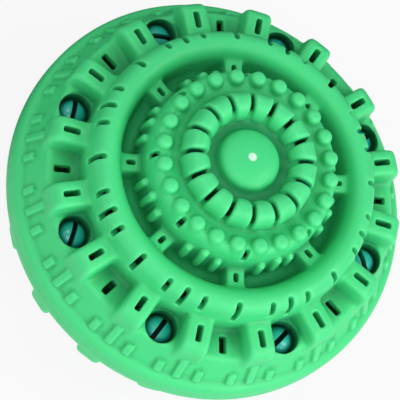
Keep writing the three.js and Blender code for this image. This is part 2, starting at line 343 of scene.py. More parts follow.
# One inside a small circle about the axis on both crowns, where the moulding gate was cut off
def gateDot(nodes, links):
    look = rubberLook
    place = nodes.new("ShaderNodeTexCoord")
    split = nodes.new("ShaderNodeSeparateXYZ")
    links.new(place.outputs["Object"], split.inputs[0])
    flat = nodes.new("ShaderNodeCombineXYZ")
    links.new(split.outputs["X"], flat.inputs["X"])
    links.new(split.outputs["Y"], flat.inputs["Y"])
    away = nodes.new("ShaderNodeVectorMath")
    away.operation = "LENGTH"
    links.new(flat.outputs[0], away.inputs[0])
    near = nodes.new("ShaderNodeMapRange")
    near.inputs["From Min"].default_value = look["dotRadius"] * 1.1
    near.inputs["From Max"].default_value = look["dotRadius"] * 0.9
    links.new(away.outputs["Value"], near.inputs["Value"])
    height = addMath(nodes, links, "ABSOLUTE", split.outputs["Z"])
    high = addMath(nodes, links, "GREATER_THAN", height, look["dotHeight"])
    return addMath(nodes, links, "MULTIPLY", near.outputs[0], high)


def rubberMaterial():
    look = rubberLook
    mat, nodes, links, shader = startMaterial("greenSoftRubber")
    cloud = addNoise(nodes, links, *look["cloud"])
    colour = addMix(nodes, links, cloud, look["green"], look["greenWarm"])
    # raised edges are lightened towards the edge green, partly as wear and partly as a painted highlight
    bend = addAttribute(nodes, "bend")
    colour = addMix(nodes, links, addRamp(nodes, links, bend, look["edgeWearAndHighlightRamp"]), colour, look["edge"])
    # painted shade: creases darken towards the crease green
    colour = addMix(nodes, links, addRamp(nodes, links, bend, look["creaseShadeRamp"]), colour, look["creaseShade"])
    # painted shade: shut-in places darken towards the recess green
    openness = addOpenness(nodes, look["recessReach"], True)
    colour = addMix(nodes, links, addRamp(nodes, links, openness, look["recessShadeRamp"]), colour, look["recessShade"])
    # painted shade: wells, the moat, the tier wall, pockets and petal gaps darken towards the deep green
    colour = addMix(nodes, links, addAttribute(nodes, "paintedShade"), colour, look["deepShade"])
    colour = addMix(nodes, links, gateDot(nodes, links), colour, look["dot"])
    links.new(colour, shader.inputs["Base Color"])
    shader.inputs["Specular IOR Level"].default_value = look["specular"]
    # painted shade on the reflection: it is dimmed in shut-in places
    links.new(addRamp(nodes, links, openness, look["specularRamp"]), shader.inputs["Specular IOR Level"])
    addRoughness(nodes, links, look, addNoise(nodes, links, *look["patches"]), shader)
    shader.inputs["Subsurface Weight"].default_value = look["subsurface"]
    shader.inputs["Subsurface Radius"].default_value = look["subsurfaceColour"]
    shader.inputs["Subsurface Scale"].default_value = look["subsurfaceDepth"]
    addGrain(nodes, links, look, shader)
    return mat


screwLook = {
    "cloud": (300.0, 3.0),
    "tealRamp": ((0.3, (0.022, 0.480, 0.400)), (0.75, (0.036, 0.580, 0.490))),
    "shadeReach": 0.0028,
    # painted shade: darker teal where the well wall closes in, and near-black inside the slot
    "shade": (0.003, 0.150, 0.090),
    "shadeRamp": ((0.2, 0.85), (0.62, 0.0)),
    "slot": (0.001, 0.012, 0.010),
    "specular": 0.6,
    "specularRamp": ((0.3, 0.0), (0.6, 0.6)),
    "rough": (0.16, 0.26),
    "grain": (3500.0, 2.0),
    "grainStrength": 0.2,
    "grainDepth": 0.00003,
}


def screwMaterial():
    look = screwLook
    mat, nodes, links, shader = startMaterial("tealHardPlastic")
    cloud = addNoise(nodes, links, *look["cloud"])
    colour = addRamp(nodes, links, cloud, look["tealRamp"])
    # painted shade: the head darkens where the well wall closes in, and the slot goes near-black
    openness = addOpenness(nodes, look["shadeReach"], False)
    colour = addMix(nodes, links, addRamp(nodes, links, openness, look["shadeRamp"]), colour, look["shade"])
    colour = addMix(nodes, links, addAttribute(nodes, "paintedShade"), colour, look["slot"])
    links.new(colour, shader.inputs["Base Color"])
    shader.inputs["Specular IOR Level"].default_value = look["specular"]
    # painted shade on the reflection: it is dimmed in shut-in places
    links.new(addRamp(nodes, links, openness, look["specularRamp"]), shader.inputs["Specular IOR Level"])
    addRoughness(nodes, links, look, cloud, shader)
    addGrain(nodes, links, look, shader)
    return mat


frameLook = {
    "cloud": (90.0, 4.0),
    "colourRamp": ((0.3, (0.020, 0.220, 0.090)), (0.75, (0.030, 0.300, 0.125))),
    "rough": (0.38, 0.5),
    "grain": (2200.0, 2.0),
    "grainStrength": 0.3,
    "grainDepth": 0.00005,
}

clayLook = {
    "cloud": (420.0, 5.0),
    "colourRamp": ((0.25, (0.150, 0.042, 0.020)), (0.5, (0.300, 0.085, 0.036)),
                   (0.8, (0.420, 0.150, 0.070))),
    "rough": (0.6, 0.8),
    "grain": (1500.0, 4.0),
    "grainStrength": 0.5,
    "grainDepth": 0.00012,
}


def cloudedMaterial(name, look):
    mat, nodes, links, shader = startMaterial(name)
    cloud = addNoise(nodes, links, *look["cloud"])
    links.new(addRamp(nodes, links, cloud, look["colourRamp"]), shader.inputs["Base Color"])
    addRoughness(nodes, links, look, cloud, shader)
    addGrain(nodes, links, look, shader)
    return mat


greenRubber = rubberMaterial()
tealPlastic = screwMaterial()
greenPlastic = cloudedMaterial("greenHardPlastic", frameLook)
clay = cloudedMaterial("firedClay", clayLook)
print("materials made")


# mesh helpers, in millimetres

def link(name, mesh):
    obj = bpy.data.objects.new(name, mesh)
    scene.collection.objects.link(obj)
    return obj


def meshOf(name, points, faces):
    mesh = bpy.data.meshes.new(name)
    mesh.from_pydata([tuple(p) for p in points], [], faces)
    return link(name, mesh)


def arcPoints(centre, size, startAngle, endAngle, steps=12, power=2.0):
    angles = np.radians(np.linspace(startAngle, endAngle, steps))
    c, s = np.cos(angles), np.sin(angles)
    x = np.sign(c) * np.abs(c) ** (2 / power)
    y = np.sign(s) * np.abs(s) ** (2 / power)
    return [(centre[0] + size[0] * a, centre[1] + size[1] * b) for a, b in zip(x, y)]


def revolve(name, profile, steps):
    inner = [p for p in profile if p[0] > 1e-6]
    top, bottom = profile[0][1], profile[-1][1]
    angles = np.arange(steps) * 2 * math.pi / steps
    points = [(r * math.cos(a), r * math.sin(a), z) for r, z in inner for a in angles]
    points += [(0, 0, top), (0, 0, bottom)]
    first, last = len(points) - 2, len(points) - 1
    faces = []
    for j in range(steps):
        k = (j + 1) % steps
        faces.append((first, j, k))
        for i in range(len(inner) - 1):
            faces.append((i * steps + j, (i + 1) * steps + j, (i + 1) * steps + k, i * steps + k))
        base = (len(inner) - 1) * steps
        faces.append((last, base + k, base + j))
    return meshOf(name, points, faces)


# A side profile in the XZ plane made solid, with half its width at each point and its side edges rounded
def prism(name, profile, half, rounding, segments=3):
    low = min(z for _, z in profile)
    count = len(profile)
    bm = bmesh.new()
    left = [bm.verts.new((r, h, z)) for (r, z), h in zip(profile, half)]
    right = [bm.verts.new((r, -h, z)) for (r, z), h in zip(profile, half)]
    bm.faces.new(left)
    bm.faces.new(right[::-1])
    for i in range(count):
        j = (i + 1) % count
        bm.faces.new((left[j], left[i], right[i], right[j]))
    bmesh.ops.recalc_face_normals(bm, faces=bm.faces)
    sides = [e for e in bm.edges
             if e.verts[0].co.y * e.verts[1].co.y > 0 and max(v.co.z for v in e.verts) > low]
    bmesh.ops.bevel(bm, geom=sides, offset=rounding, segments=segments, profile=0.5,
                    affect="EDGES", clamp_overlap=True)
    mesh = bpy.data.meshes.new(name)
    bm.to_mesh(mesh)
    bm.free()
    return link(name, mesh)


# The same with a width that changes evenly from the bottom to the top
def tapered(name, profile, bottomWidth, topWidth, rounding):
    low = min(z for _, z in profile)
    high = max(z for _, z in profile)
    half = [0.5 * (bottomWidth + (topWidth - bottomWidth) * (z - low) / (high - low)) for _, z in profile]
    return prism(name, profile, half, rounding)


# A slot seen from above as a rounded rectangle, cut straight along Z
def slotCutter(name, inner, outer, width, bottom, top, corner):
    h = width / 2
    plan = []
    for x, y, start in ((outer - corner, h - corner, 0), (inner + corner, h - corner, 90),
                        (inner + corner, corner - h, 180), (outer - corner, corner - h, 270)):
        plan += arcPoints((x, y), (corner, corner), start, start + 90, 5)
    count = len(plan)
    points = [(x, y, bottom) for x, y in plan] + [(x, y, top) for x, y in plan]
    faces = [tuple(range(count))[::-1], tuple(range(count, 2 * count))]
    faces += [(i, (i + 1) % count, count + (i + 1) % count, count + i) for i in range(count)]
    return meshOf(name, points, faces)


# A round-ended rod between two points
def rod(name, start, end, radius, sides=12, caps=4):
    start, end = Vector(start), Vector(end)
    length = (end - start).length
    profile = arcPoints((0, length), (radius, radius), 90, 0, caps + 1)
    profile += arcPoints((0, 0), (radius, radius), 0, -90, caps + 1)
    obj = revolve(name, profile, sides)
    obj.data.transform(Matrix.Translation(start) @ (end - start).to_track_quat("Z", "Y").to_matrix().to_4x4())
    return obj


def evaluated(obj):
    graph = bpy.context.evaluated_depsgraph_get()
    mesh = bpy.data.meshes.new_from_object(obj.evaluated_get(graph), depsgraph=graph)
    obj.modifiers.clear()
    obj.data = mesh
    return obj


def combine(obj, tool, operation):
    mod = obj.modifiers.new(operation, "BOOLEAN")
    mod.operation = operation
    mod.solver = "MANIFOLD"
    mod.object = tool
    evaluated(obj)
    bpy.data.objects.remove(tool)


# Geometry Nodes: a tree with the named sizes as inputs, between its geometry and its finish

def startTree(name, sizes):
    tree = bpy.data.node_groups.new(name, "GeometryNodeTree")
    face = tree.interface
    face.new_socket("Geometry", in_out="INPUT", socket_type="NodeSocketGeometry")
    for label, kind in sizes.items():
        face.new_socket(label, in_out="INPUT", socket_type=kind)
    face.new_socket("Finish", in_out="INPUT", socket_type="NodeSocketMaterial")
    face.new_socket("Geometry", in_out="OUTPUT", socket_type="NodeSocketGeometry")
    return tree, tree.nodes, tree.links, tree.nodes.new("NodeGroupInput")


def endTree(nodes, links, start, geometry):
    finish = nodes.new("GeometryNodeSetMaterial")
    end = nodes.new("NodeGroupOutput")
    links.new(geometry, finish.inputs["Geometry"])
    links.new(start.outputs["Finish"], finish.inputs["Material"])
    links.new(finish.outputs[0], end.inputs[0])


# Copies of the piece's own mesh, turned about Z
def aroundTree():
    sizes = {"Count": "NodeSocketInt", "First Angle": "NodeSocketFloat"}
    tree, nodes, links, start = startTree("copiesAroundAxis", sizes)
    points = nodes.new("GeometryNodePoints")
    copies = nodes.new("GeometryNodeInstanceOnPoints")
    index = nodes.new("GeometryNodeInputIndex")
    step = nodes.new("ShaderNodeMath")
    step.operation = "DIVIDE"
    step.inputs[0].default_value = 2 * math.pi
    angle = nodes.new("ShaderNodeMath")
    angle.operation = "MULTIPLY_ADD"
    turn = nodes.new("ShaderNodeCombineXYZ")
    real = nodes.new("GeometryNodeRealizeInstances")
    links.new(start.outputs["Count"], points.inputs["Count"])
    links.new(start.outputs["Count"], step.inputs[1])
    links.new(index.outputs[0], angle.inputs[0])
    links.new(step.outputs[0], angle.inputs[1])
    links.new(start.outputs["First Angle"], angle.inputs[2])
    links.new(angle.outputs[0], turn.inputs["Z"])
    links.new(points.outputs[0], copies.inputs["Points"])
    links.new(start.outputs["Geometry"], copies.inputs["Instance"])
    links.new(turn.outputs[0], copies.inputs["Rotation"])
    links.new(copies.outputs[0], real.inputs[0])
    endTree(nodes, links, start, real.outputs[0])
    return tree


copiesAround = aroundTree()


def setInput(mod, name, value):
    for item in mod.node_group.interface.items_tree:
        if item.in_out == "INPUT" and item.name == name:
            mod[item.identifier] = value


def ringOf(obj, count, firstAngle, finish):
    mod = obj.modifiers.new("copies", "NODES")
    mod.node_group = copiesAround
    setInput(mod, "Count", count)
    setInput(mod, "First Angle", math.radians(firstAngle))
    setInput(mod, "Finish", finish)
    return evaluated(obj)


# half shell: sizes in millimetres, the outermost two taken from the frame

folds = 8  # the moulding repeats this often round its axis
foldStep = 360 / folds
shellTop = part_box("upper_shell")[1]
shell = {
    "equator": shellTop.x / mm,
    "crown": shellTop.z / mm,
    "wall": 2.2,
    "floor": 13.0,
    "bar": 19.0,
    "ring": 26.0,
    "valley": 17.0,
    "bridge": 23.0,
    "land": 31.7,
    "trough": 30.9,
    "moat": 31.6,
    "dome": 35.5,
    "beadTop": 4.7,
    "domeRadius": 7.75,
    "domeFullness": 2.6,
    "domeFillet": 0.9,
    "petalInner": 10.1,
    "petalOuter": 17.0,
    "petalFlat": 0.3,
    "petalFullness": 2.4,
    "gapDepth": 2.6,
    "landInner": 19.0,
    "landOuter": 23.6,
    "landRoll": 1.7,
    "landFall": 5.0,
    "landFillet": 0.6,
    "landSkin": 1.3,
    "valleyInner": 24.7,
    "valleyOuter": 27.7,
    "ringOuter": 36.4,
    "ringMiddle": 32.6,
    "ringWaist": 21.4,
    "ringInnerRoll": 3.9,
    "ringOuterRoll": 3.2,
    "ringSkin": 1.5,
    "rimTop": 44.6,
    "rimRoll": 1.3,
    "rimFoot": 47.5,
    "rimStep": 0.4,
    "rimMiddle": 1.6,
    "steps": 288,
    "skirt": 3.0,
    "parting": 0.06,
    "softVoxel": 0.40,
    "softRounds": 14,
    "voxel": 0.26,
    "rounds": 4,
    "bendReach": 0.12,
    "bendRounds": 8,
    "triangles": 190000,
    "wellInset": 0.4,
}
shell["wellCentre"] = (shell["ringOuter"] + shell["rimTop"]) / 2 - shell["wellInset"]


# Side view of the petals' roll, or of the same roll sunk by a depth
def petalRoll(sunk):
    s = shell
    flat = s["petalFlat"]
    middle = (s["petalInner"] + s["petalOuter"]) / 2
    inner, outer = s["petalInner"] + sunk / 6, s["petalOuter"] - sunk / 3
    top = s["crown"] - sunk
    innerSize = (middle - flat - inner, top - s["moat"])
    outerSize = (outer - middle - flat, top - s["trough"])
    roll = arcPoints((middle - flat, s["moat"]), innerSize, 180, 90, 12)
    return roll + arcPoints((middle + flat, s["trough"]), outerSize, 90, 0, 14, s["petalFullness"])


# From the dome outwards over the petals' foot, land, valley, ring, pocket floor and rim
def shellOutside():
    s = shell
    domeFoot = s["moat"] + s["domeFillet"]
    fillet, bend = s["domeFillet"], s["landFillet"]
    roll, fall = s["landRoll"], s["landFall"]
    middle, waist = s["ringMiddle"], s["ringWaist"]
    innerRoll, outerRoll = s["ringInnerRoll"], s["ringOuterRoll"]
    rimRoll = s["rimRoll"]
    rimWidth = s["equator"] - s["rimFoot"] - s["rimStep"]
    domeSize = (s["domeRadius"], s["dome"] - s["moat"] - s["domeFillet"])
    return [
        *arcPoints((0, domeFoot), domeSize, 90, 0, 20, s["domeFullness"]),
        *arcPoints((s["domeRadius"] + fillet, domeFoot), (fillet, fillet), 180, 270, 6),
        *petalRoll(s["gapDepth"]),
        *arcPoints((s["landInner"] - bend, s["trough"] + bend), (bend, bend), 270, 330, 5),
        *arcPoints((s["landInner"] + 1.3, s["land"] - 0.7), (0.8, 0.7), 150, 90, 5),
        *arcPoints((s["landOuter"] - roll, s["land"] - fall), (roll, fall), 90, 5, 14),
        *arcPoints((s["valleyInner"] + 0.9, s["valley"] + 0.9), (1.0, 0.9), 185, 270, 6),
        *arcPoints((s["valleyOuter"] - 0.8, s["valley"] + 1.0), (1.0, 1.0), 270, 345, 6),
        *arcPoints((middle, waist), (innerRoll, s["ring"] - waist), 180, 90, 14),
        *arcPoints((middle, s["ring"] - outerRoll), (outerRoll, outerRoll), 90, 0, 14)[1:],
        (s["ringOuter"] - 0.1, s["bar"]),
        (s["ringOuter"], s["floor"]),
        *arcPoints((s["rimTop"] - rimRoll, s["floor"] - rimRoll), (rimRoll, rimRoll), 90, 18, 7),
        (s["rimFoot"], s["beadTop"]),
        *arcPoints((s["rimFoot"] + s["rimStep"], s["rimMiddle"]), (rimWidth, s["beadTop"] - 1.5), 90, 0, 12),
        (s["equator"], -s["skirt"]),
        (0, -s["skirt"]),
    ]


def shellInside():
    s = shell
    w = s["wall"]
    return [
        (0, s["moat"] - w),
        (s["petalOuter"] - w - 2, s["moat"] - w),
        (s["petalOuter"] - w, s["trough"] - w),
        (s["landOuter"] - s["landSkin"], s["trough"] - w),
        (s["valleyInner"] - w, s["valley"] - w),
        (s["valleyOuter"] + w, s["valley"] - w),
        (s["valleyOuter"] + w + 1.6, s["ring"] - w - s["ringSkin"]),
        (s["ringOuter"] - w - 0.6, s["ring"] - w - s["ringSkin"]),
        (s["ringOuter"] - w, s["floor"] - w),
        (s["rimTop"] - w, s["floor"] - w),
        (s["rimFoot"] - w, s["beadTop"]),
        (s["rimFoot"] - w, -s["skirt"] - 1),
        (0, -s["skirt"] - 1),
    ]


raised = {
    "petalGap": 1.0,
    "petalEdge": 0.9,
    "barStart": 34.0,
    "barEnd": 45.4,
    "barRound": 3.2,
    "barFoot": 7.8,
    "barTop": 6.4,
    "barEdge": 1.0,
    "bridgeWidth": 4.6,
    "bridgeFlare": 0.6,
    "bridgeRoot": 1.5,
    "bridgeEdge": 0.4,
    "bumpRadius": 2.0,
    "bumpHeight": 2.0,
    "bumpRoot": 3.5,
    "bumpFullness": 2.9,
    "bumpCircle": 21.1,
    "bumpCount": 24,
    "rimRibWidth": 2.1,
    "rimRibProud": 0.95,
    "rimRibEdge": 0.5,
    "rimRibFoot": 4.9,
    "rimRibLong": 11.4,
    "rimRibShort": 8.5,
    "rimRibSpread": 6.1,
    "tierRibRadius": 1.15,
    "tierRibFoot": 20.6,
    "tierRibLong": 28.0,
    "tierRibShort": 26.4,
    "tierRibSpread": 9.3,
}


def shellBars():
    s, p = shell, raised
    r = p["barRound"]
    profile = [(p["barStart"], s["floor"] - 1.5), (p["barEnd"], s["floor"] - 3.5)]
    profile += arcPoints((p["barEnd"] - r, s["bar"] - r), (r, r), 0, 90, 6)
    profile.append((p["barStart"], s["bar"] + 0.4))
    bar = tapered("bars", profile, p["barFoot"], p["barTop"], p["barEdge"])
    return ringOf(bar, 2 * folds, foldStep / 4, greenRubber)


# Sixteen rolls with rounded sides and a narrow gap between neighbours
def shellPetals():
    s, p = shell, raised
    low = s["trough"] - 1
    profile = [(s["petalInner"], low), *petalRoll(0), (s["petalOuter"], low)]
    slope = math.tan(math.pi / (2 * folds))
    half = [r * slope - p["petalGap"] / 2 for r, _ in profile]
    return ringOf(prism("petals", profile, half, p["petalEdge"], 4), 2 * folds, foldStep / 4, greenRubber)


def shellBridges():
    s, p = shell, raised
    inner, outer = s["valleyInner"] - 1.2, s["valleyOuter"] + 2.0  # the ends lie inside both walls
    low = s["valley"] - p["bridgeRoot"]
    profile = [(inner, low), (outer, low), (outer, s["bridge"]), (inner, s["bridge"])]
    width = p["bridgeWidth"]
    bridge = tapered("bridges", profile, width + p["bridgeFlare"], width, p["bridgeEdge"])
    return ringOf(bridge, folds, 0, greenRubber)


def shellBumps():
    p = raised
    r, land = p["bumpRadius"], shell["land"]
    profile = arcPoints((0, land - 0.2), (r, p["bumpHeight"] + 0.2), 90, 0, 12, p["bumpFullness"])
    profile += [(r + 0.1, land - 1), (r + 0.1, land - p["bumpRoot"]), (0, land - p["bumpRoot"])]
    bump = revolve("bumps", profile, 32)
    bump.data.transform(Matrix.Translation((p["bumpCircle"], 0, 0)))
    return ringOf(bump, p["bumpCount"], 180 / p["bumpCount"], greenRubber)


# The place on a leaning wall at a height, from the wall's two ends
def onWall(foot, head, z):
    share = (z - foot[1]) / (head[1] - foot[1])
    return Vector((foot[0] + (head[0] - foot[0]) * share, z))


def rimRib(top):
    s, p = shell, raised
    foot, head = (s["rimFoot"], s["beadTop"]), (s["rimTop"], s["floor"] - 1)
    low, high = onWall(foot, head, p["rimRibFoot"]), onWall(foot, head, top)
    along = (high - low).normalized()
    out = Vector((along.y, -along.x))
    profile = [low - out, low + out * p["rimRibProud"], high + out * p["rimRibProud"], high - out]
    return prism("rimRibs", profile, [p["rimRibWidth"] / 2] * 4, p["rimRibEdge"])


def tierRib(top):
    s, p = shell, raised
    foot, head = (s["valleyInner"], s["valley"]), (s["landOuter"], s["land"])
    low, high = onWall(foot, head, p["tierRibFoot"]), onWall(foot, head, top - p["tierRibRadius"])
    return rod("tierRibs", (low.x, 0, low.y), (high.x, 0, high.y), p["tierRibRadius"])


def shellRibs():
    p = raised
    ribs = []
    for offset in (-1, 0, 1):
        rim = rimRib(p["rimRibLong"] if offset == 0 else p["rimRibShort"])
        ribs.append(ringOf(rim, 2 * folds, foldStep / 4 + offset * p["rimRibSpread"], greenRubber))
        tier = tierRib(p["tierRibLong"] if offset == 0 else p["tierRibShort"])
        ribs.append(ringOf(tier, folds, foldStep / 2 + offset * p["tierRibSpread"], greenRubber))
    return ribs


# A slot is its inner and outer end, its width and its corners' radius
cuts = {
    "barSlot": (38.4, 42.6, 1.5, 0.3),
    "floorSlot": (38.2, 42.4, 1.65, 0.3),
    "longSlot": (33.2, 38.5, 1.35, 0.65),
    "shortSlot": (33.5, 38.5, 1.3, 0.62),
    "bridgeSlot": (25.1, 27.5, 1.2, 0.4),
    "landSlot": (21.6, 25.6, 1.3, 0.6),
    "petalSlot": (12.3, 15.7, 0.85, 0.3),
    "through": 4.0,
    "longSill": 0.2,
    "shortSill": 2.2,
    "shortSpread": 8,
    "landSill": 4.4,
    "wellRadius": 4.05,
    "wellSeat": 8.8,
    "wellLip": 0.6,
    "lipRise": 2.6,
    "shankHole": 2.0,
    "tubeWall": 0.9,
    "seatThickness": 2.0,
}


# The same round tool at each of the eight wells, with an outward lip at its top if asked for
def roundCutter(name, radius, bottom, top, lip=0.0):
    profile = [(0, top), (radius - lip, top), (radius, bottom), (0, bottom)]
    if lip:
        profile[2:2] = arcPoints((radius + lip, shell["floor"] - lip), (lip, lip), 90, 180, 6)
    cutter = revolve(name, profile, 48)
    cutter.data.transform(Matrix.Translation((shell["wellCentre"], 0, 0)))
    return ringOf(cutter, folds, foldStep / 2, greenRubber)


def shellCuts():
    s, c = shell, cuts
    top = s["crown"] + 2

    def slots(name, bottom, count, firstAngle):
        inner, outer, width, corner = c[name]
        cutter = slotCutter(name, inner, outer, width, bottom, top, corner)
        return ringOf(cutter, count, firstAngle, greenRubber)

    yield slots("barSlot", c["through"], 2 * folds, foldStep / 4)
    yield slots("floorSlot", c["through"], folds, 0)
    yield slots("longSlot", s["bar"] + c["longSill"], 2 * folds, 0)
    for side in (-1, 1):
        yield slots("shortSlot", s["bar"] + c["shortSill"], folds, foldStep / 2 + side * c["shortSpread"])
    yield slots("bridgeSlot", c["through"], folds, 0)
    yield slots("landSlot", s["land"] - c["landSill"], folds, 0)
    yield slots("petalSlot", c["through"], 2 * folds, 0)
    yield roundCutter("well", c["wellRadius"], c["wellSeat"], s["floor"] + c["lipRise"], c["wellLip"])
    yield roundCutter("shankHole", c["shankHole"], 0, s["floor"])


# Zero at the first place, one at the second, even between them
def fade(value, zero, one):
    return np.clip((value - zero) / (one - zero), 0, 1)


def storeValue(mesh, name, value):
    layer = mesh.attributes.new(name, "FLOAT", "POINT")
    layer.data.foreach_set("value", value.astype(np.float32))


# How far a vertex stands out of or sinks below its neighbours, from 0 sunken through 0.5 flat to 1 raised
def storeBend(mesh, reach, rounds):
    count = len(mesh.vertices)
    place = np.empty(count * 3)
    normal = np.empty(count * 3)
    mesh.vertices.foreach_get("co", place)
    mesh.vertices.foreach_get("normal", normal)
    place, normal = place.reshape(-1, 3), normal.reshape(-1, 3)
    edges = np.empty(len(mesh.edges) * 2, dtype=np.int64)
    mesh.edges.foreach_get("vertices", edges)
    a, b = edges.reshape(-1, 2).T
    degree = np.bincount(a, minlength=count) + np.bincount(b, minlength=count)
    degree = np.maximum(degree, 1)

    def averaged(values):
        total = np.zeros_like(values)
        for k in range(values.shape[1]):
            total[:, k] = np.bincount(a, values[b, k], count) + np.bincount(b, values[a, k], count)
        return total / degree[:, None]

    smooth = place
    for _ in range(rounds):
        smooth = averaged(smooth)
    lift = ((place - smooth) * normal).sum(1)
    value = np.clip(0.5 + lift / (2 * reach), 0, 1)
    value[place[:, 2] < 3 * reach] = 0.5  # the parting edge gets no wear, painted highlight or painted crease shade
    storeValue(mesh, "bend", value)


# The part of an angle that is past the nearest of evenly spaced ones
def pastNearest(angle, step):
    return angle - np.round(angle / step) * step


# how strongly each place is darkened, as painted shade
paintedShadeAmount = {"moat": 0.5, "tier": 0.4, "pocket": 0.4, "tierFoot": (17.5, 20.0)}


# Painted shade: how deep a point lies in a well, the moat round the dome, the tier wall, a pocket or a gap
# between petals, stored as how far its colour darkens there
def storePaintedShade(mesh):
    s, d = shell, paintedShadeAmount
    place = np.empty(len(mesh.vertices) * 3)
    mesh.vertices.foreach_get("co", place)
    x, y, z = place.reshape(-1, 3).T
    r = np.hypot(x, y)
    turn = np.arctan2(y, x)
    angle = pastNearest(turn - math.radians(foldStep / 2), math.radians(foldStep))
    away = np.hypot(r * np.sin(angle), r * np.cos(angle) - s["wellCentre"])
    well = fade(away, cuts["wellRadius"] + 0.45, cuts["wellRadius"] + 0.05)
    well *= fade(z, s["floor"] + 0.6, s["floor"] - 1.8)
    middle = (s["domeRadius"] + s["petalInner"]) / 2
    moat = d["moat"] * fade(np.abs(r - middle), 1.9, 0.7) * fade(z, s["moat"] + 2.2, s["moat"] + 0.4)
    rise = s["land"] - s["valley"]
    wall = s["landOuter"] + (s["valleyInner"] - s["landOuter"]) * (s["land"] - z) / rise
    tier = d["tier"] * fade(np.abs(r - wall), 0.9, 0.4) * fade(z, s["land"] - 5.0, s["land"] - 8.0)
    tier *= fade(z, *d["tierFoot"])
    pocket = d["pocket"] * fade(z, s["floor"] + 3.5, s["floor"] + 0.3)
    pocket *= fade(r, s["rimTop"] - 1.0, s["ringOuter"] + 1.5)
    pocket[(r < s["ringOuter"] - 1) | (z < s["floor"] - 0.6)] = 0
    gap = pastNearest(turn, math.radians(foldStep / 2))
    slit = fade(np.abs(r * np.sin(gap)), raised["petalGap"] / 2 + 0.3, raised["petalGap"] / 2)
    slit *= fade(np.abs(r - np.mean(cuts["petalSlot"][:2])), 2.3, 1.5)
    slit *= fade(z, s["crown"] - 1.0, s["crown"] - 2.4)
    storeValue(mesh, "paintedShade", np.max((well, moat, tier, pocket, slit), axis=0))


def soften(obj, voxel, rounds):
    remesh = obj.modifiers.new("even", "REMESH")
    remesh.mode = "VOXEL"
    remesh.voxel_size = voxel
    smooth = obj.modifiers.new("soften", "SMOOTH")
    smooth.factor = 0.5
    smooth.iterations = rounds
    return evaluated(obj)


def buildShell():
    s, c = shell, cuts
    obj = revolve("upperShell", shellOutside(), s["steps"])
    for extra in (shellBars(), shellBridges()):
        combine(obj, extra, "UNION")
    soften(obj, s["softVoxel"], s["softRounds"])
    print("shell body:", len(obj.data.polygons), "faces")
    for extra in (shellPetals(), shellBumps(), *shellRibs()):
        combine(obj, extra, "UNION")
    hollow = revolve("hollow", shellInside(), 128)
    tubeFoot = c["wellSeat"] - c["seatThickness"]
    tubes = roundCutter("tubes", c["wellRadius"] + c["tubeWall"], tubeFoot, s["floor"])
    combine(hollow, tubes, "DIFFERENCE")
    combine(obj, hollow, "DIFFERENCE")
    for cutter in shellCuts():
        combine(obj, cutter, "DIFFERENCE")
    soften(obj, s["voxel"], s["rounds"])
    print("shell cut and softened:", len(obj.data.polygons), "faces")
    reach = 2 * s["equator"]
    below = slotCutter("below", -reach, reach, 2 * reach, -s["skirt"] - 2, s["parting"], 1)
    combine(obj, below, "DIFFERENCE")
    storeBend(obj.data, s["bendReach"], s["bendRounds"])
    # painted shade for the deep narrow places
    storePaintedShade(obj.data)
    obj.data.calc_loop_triangles()
    thin = obj.modifiers.new("thin", "DECIMATE")
    thin.ratio = min(1.0, s["triangles"] / len(obj.data.loop_triangles))
    return evaluated(obj)


def finishPiece(obj, name, finish, body, nodes):
    obj.name = name
    obj.data.name = name
    obj.data.materials.clear()
    obj.data.materials.append(finish)
    obj.data.shade_smooth()
    obj.data.set_sharp_from_angle(angle=math.radians(55))
    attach(obj, body)
    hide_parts(*nodes)


upperShell = buildShell()
upperShell.data.transform(Matrix.Scale(mm, 4))
turnOver = Matrix.Rotation(math.pi, 4, "X")
lowerShell = link("lowerShell", upperShell.data.copy())
lowerShell.data.transform(turnOver)
finishPiece(upperShell, "upperShell", greenRubber, "upper_half", ["upper_shell"])
finishPiece(lowerShell, "lowerShell", greenRubber, "lower_half", ["lower_shell"])
print("shells done:", len(upperShell.data.polygons), "faces each")


# screws: a slotted dome head on a threaded shank

screw = {
    "headRadius": 3.55,
    "headBottom": 8.95,
    "belt": 0.4,
    "headTop": 11.7,
    "headEdge": 0.35,
    "shankRadius": 1.55,
    "shankSides": 28,
    "shankBite": 0.4,
    "threadDepth": 0.35,
    "pitch": 1.4,
    "rowsPerTurn": 8,
    "tip": 1.0,
    "slotWidth": 1.3,
    "slotDepth": 2.3,
    "slotEdge": 0.18,
    "slotCorner": 0.2,
    "turns": (131, 20, 80, 67.5, 101, 52, 167, 115),
}


def threadedShank():
    s = screw
    sides, perTurn = s["shankSides"], s["rowsPerTurn"]
    length = s["headBottom"] + s["shankBite"] - s["tip"]
    rows = int(length / s["pitch"] * perTurn)
    points = []
    for i in range(rows + 1):
        z = s["tip"] + length * i / rows
        full = min(1.0, i / perTurn, (rows - i) / perTurn)
        for j in range(sides):
            a = 2 * math.pi * j / sides
            wave = abs(((z / s["pitch"] - j / sides) % 1) * 2 - 1)
            r = s["shankRadius"] - s["threadDepth"] * (1 - full * (1 - wave))
            points.append((r * math.cos(a), r * math.sin(a), z))
    faces = [tuple(range(sides))[::-1], tuple(range(rows * sides, (rows + 1) * sides))]
    for i in range(rows):
        for j in range(sides):
            k = (j + 1) % sides
            faces.append((i * sides + j, i * sides + k, (i + 1) * sides + k, (i + 1) * sides + j))
    return meshOf("shank", points, faces)


